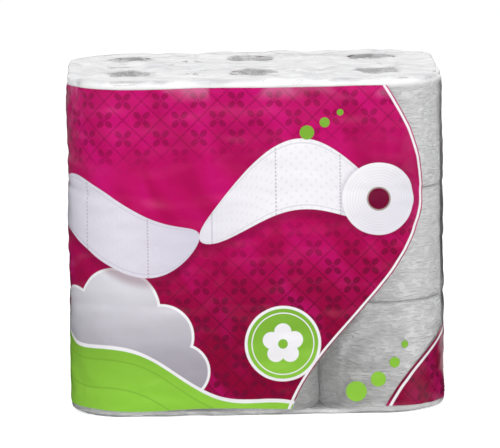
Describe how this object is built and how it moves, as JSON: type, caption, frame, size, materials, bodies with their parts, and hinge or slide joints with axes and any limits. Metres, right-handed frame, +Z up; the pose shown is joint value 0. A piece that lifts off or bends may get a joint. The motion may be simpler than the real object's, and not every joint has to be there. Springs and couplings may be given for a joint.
{
  "type": "toilet paper roll pack",
  "caption": "Film-wrapped block of toilet rolls stacked on end in layers, with folded and sealed film ends; stands on its flat underside.",
  "frame": {"origin": "middle of the underside, on the surface the pack stands on", "axes": "+X across the pack towards its right-hand folded end, +Y from the printed front to the back, +Z up along the cores"},
  "size_m": [0.345, 0.227, 0.3066],
  "materials": {
    "tissue": "soft, embossed all over",
    "core_board": "grey-brown board, spiral wound",
    "printed_film": "thin glossy film, clear where it isn't printed"
  },
  "bodies": {
    "root": {"roll_bottom_front_left": "tissue", "roll_bottom_front_centre": "tissue", "roll_bottom_front_right": "tissue", "roll_bottom_back_left": "tissue", "roll_bottom_back_centre": "tissue", "roll_bottom_back_right": "tissue", "roll_middle_front_left": "tissue", "roll_middle_front_centre": "tissue", "roll_middle_front_right": "tissue", "roll_middle_back_left": "tissue", "roll_middle_back_centre": "tissue", "roll_middle_back_right": "tissue", "roll_top_front_left": "tissue", "roll_top_front_centre": "tissue", "roll_top_front_right": "tissue", "roll_top_back_left": "tissue", "roll_top_back_centre": "tissue", "roll_top_back_right": "tissue", "core_bottom_front_left": "core_board", "core_bottom_front_centre": "core_board", "core_bottom_front_right": "core_board", "core_bottom_back_left": "core_board", "core_bottom_back_centre": "core_board", "core_bottom_back_right": "core_board", "core_middle_front_left": "core_board", "core_middle_front_centre": "core_board", "core_middle_front_right": "core_board", "core_middle_back_left": "core_board", "core_middle_back_centre": "core_board", "core_middle_back_right": "core_board", "core_top_front_left": "core_board", "core_top_front_centre": "core_board", "core_top_front_right": "core_board", "core_top_back_left": "core_board", "core_top_back_centre": "core_board", "core_top_back_right": "core_board", "wrap_film": "printed_film"}
  },
  "joints": []
}
